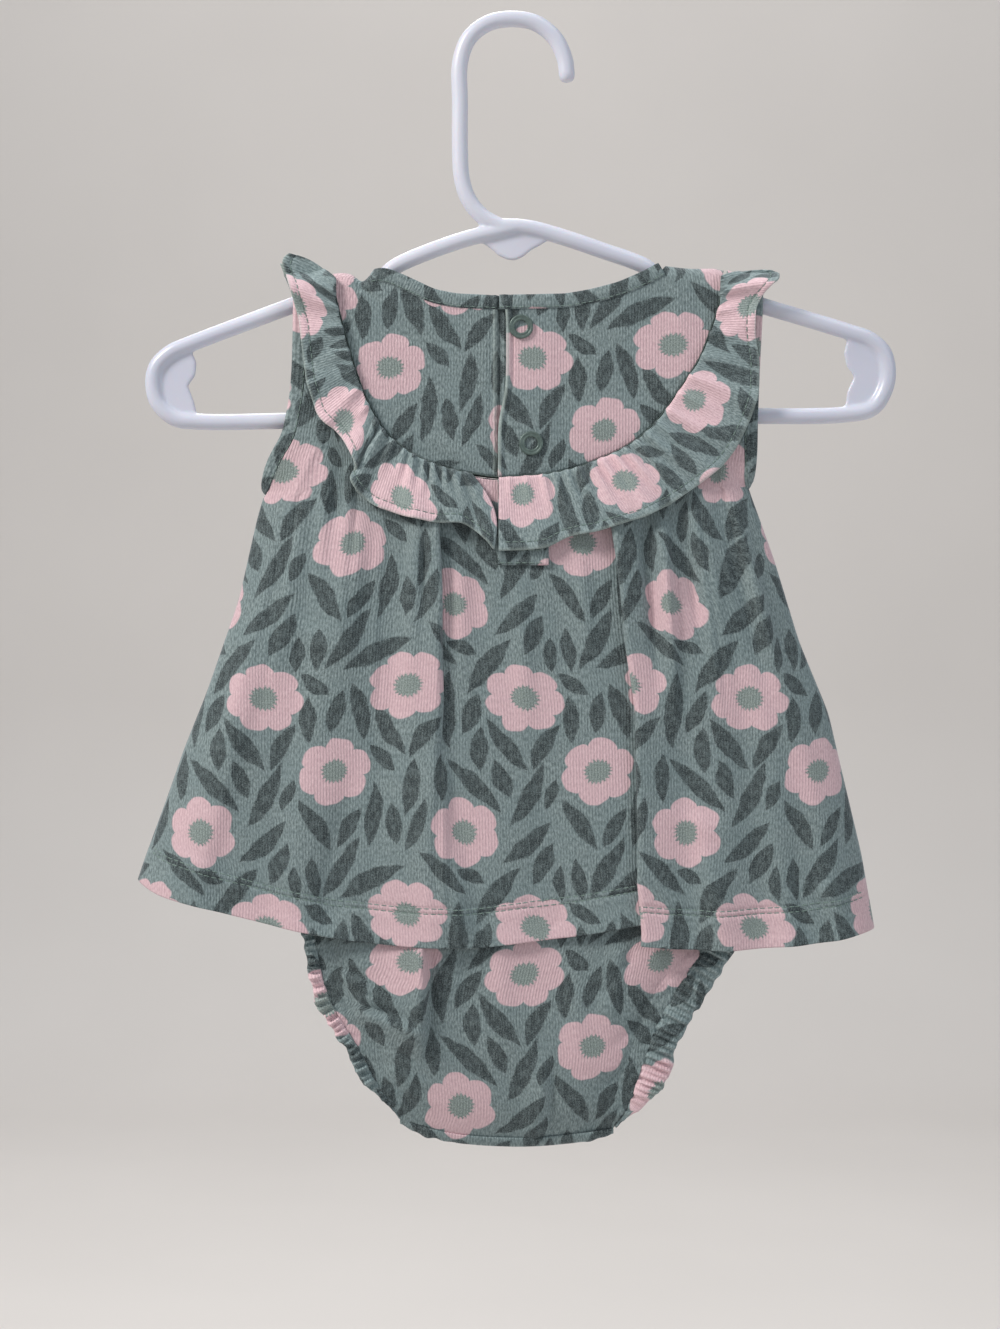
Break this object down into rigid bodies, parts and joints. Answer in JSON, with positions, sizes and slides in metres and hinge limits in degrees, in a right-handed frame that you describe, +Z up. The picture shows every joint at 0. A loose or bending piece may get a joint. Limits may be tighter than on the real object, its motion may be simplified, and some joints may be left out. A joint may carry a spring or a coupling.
{
  "type": "baby romper on a hanger",
  "caption": "Sleeveless baby romper with round yoke, ruffle, pleated skirt over bloomers and ring snaps at the back, on a child's moulded hanger.",
  "frame": {"origin": "the point inside the top of the hanger's hook that rests on a rail or wall hook", "axes": "+Z up, -Y towards the garment's back with the snaps, +X to the right when the back is seen"},
  "size_m": [0.2955, 0.0324, 0.4446],
  "materials": {
    "cotton_print": "matt",
    "ring_paint": "satin",
    "hanger_plastic": "satin"
  },
  "bodies": {
    "root": {"hanger": "hanger_plastic", "back_yoke_left": "cotton_print", "back_yoke_right": "cotton_print", "front_yoke": "cotton_print", "neck_binding_back_left": "cotton_print", "neck_binding_back_right": "cotton_print", "neck_binding_front": "cotton_print", "skirt_back": "cotton_print", "skirt_front": "cotton_print", "body_back": "cotton_print", "body_front": "cotton_print", "back_ruffle_left": "cotton_print", "back_ruffle_right": "cotton_print", "front_ruffle": "cotton_print", "armhole_binding_left": "cotton_print", "armhole_binding_right": "cotton_print", "leg_band_left": "cotton_print", "leg_band_right": "cotton_print", "crotch_band": "cotton_print", "placket_box": "cotton_print", "snap_upper": "ring_paint", "snap_lower": "ring_paint"}
  },
  "joints": []
}
